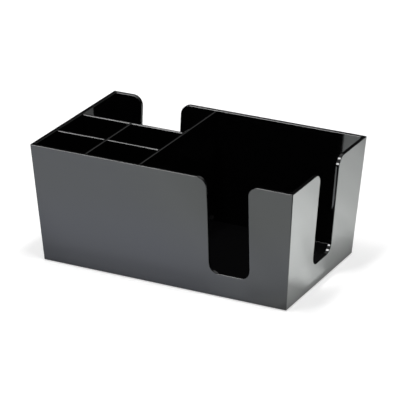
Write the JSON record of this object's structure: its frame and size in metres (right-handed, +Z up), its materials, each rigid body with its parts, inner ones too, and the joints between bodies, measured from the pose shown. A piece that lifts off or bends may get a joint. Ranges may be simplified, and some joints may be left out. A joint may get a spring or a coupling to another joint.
{
  "type": "straw and napkin holder",
  "caption": "Tapered black countertop caddy with finger cut-outs, lift-out dividers forming straw bays, a rear bay and a napkin bay, and rubber feet.",
  "frame": {"origin": "on the counter, under the middle of the tray, level with the bottom of the feet", "axes": "+X along the length towards the napkin bay's end wall, +Y towards the back wall, +Z up; the front is -Y"},
  "size_m": [0.24, 0.147, 0.1058],
  "materials": {
    "black_plastic": "smooth moulded black plastic with a gloss surface",
    "foot_rubber": "matt black non-slip rubber"
  },
  "bodies": {
    "tray": {"housing": "black_plastic", "foot_front_left": "foot_rubber", "foot_front_right": "foot_rubber", "foot_rear_left": "foot_rubber", "foot_rear_right": "foot_rubber"},
    "napkin_divider": {"napkin_divider": "black_plastic"},
    "rear_divider": {"rear_divider": "black_plastic"},
    "front_divider": {"front_divider": "black_plastic"},
    "cross_divider": {"cross_divider": "black_plastic"}
  },
  "joints": [
    {"name": "napkin_divider_lift", "type": "slide", "parent": "tray", "child": "napkin_divider", "axis": [0, 0, 1], "range_m": [0, 0.105]},
    {"name": "rear_divider_lift", "type": "slide", "parent": "tray", "child": "rear_divider", "axis": [0, 0, 1], "range_m": [0, 0.105]},
    {"name": "front_divider_lift", "type": "slide", "parent": "tray", "child": "front_divider", "axis": [0, 0, 1], "range_m": [0, 0.105]},
    {"name": "cross_divider_lift", "type": "slide", "parent": "front_divider", "child": "cross_divider", "axis": [0, 0, 1], "range_m": [0, 0.105]}
  ]
}
